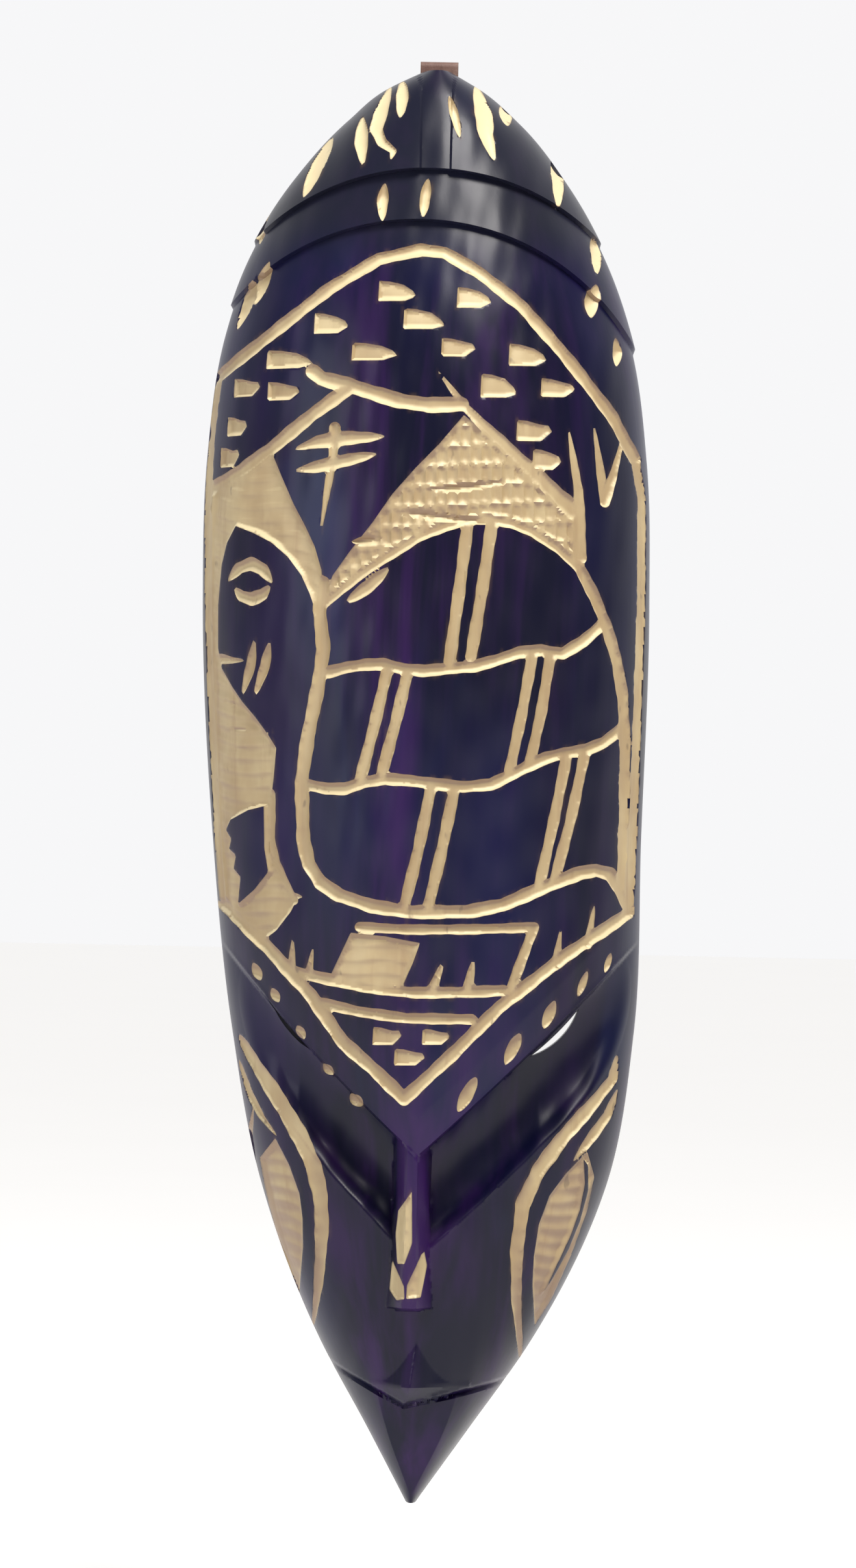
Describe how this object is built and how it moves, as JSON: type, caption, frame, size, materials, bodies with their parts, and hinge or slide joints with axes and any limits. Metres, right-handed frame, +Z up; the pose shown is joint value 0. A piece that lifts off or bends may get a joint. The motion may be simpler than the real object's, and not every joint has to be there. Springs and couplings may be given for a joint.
{
  "type": "carved wooden mask",
  "caption": "Long hood-shaped wooden wall mask, hollow behind, with stepped hair, a slit-eyed face, a carved tortoise panel and a ring hanger on its back.",
  "frame": {"origin": "middle of the ring's hinge line, between the leather's two layers behind the crown", "axes": "+Z up along the mask's length, +Y out of its flat back, +X to the viewer's right when the face is seen"},
  "size_m": [0.1247, 0.0501, 0.4004],
  "materials": {
    "stained_wood": "dark violet-black stain under a glossy varnish, cuts bare straw-coloured wood",
    "tab_leather": "reddish-brown vegetable-tanned leather",
    "ring_wire": "drawn steel wire",
    "tack_metal": "dulled brass"
  },
  "bodies": {
    "mask": {"mask_body": "stained_wood", "hanger_tab": "tab_leather", "upper_tack": "tack_metal", "lower_tack": "tack_metal"},
    "ring": {"hanger_ring": "ring_wire"}
  },
  "joints": [
    {"name": "ring_swing", "type": "hinge", "parent": "mask", "child": "ring", "pos_m": [0, 0, 0], "axis": [1, 0, 0], "range_deg": [0, 168]}
  ]
}
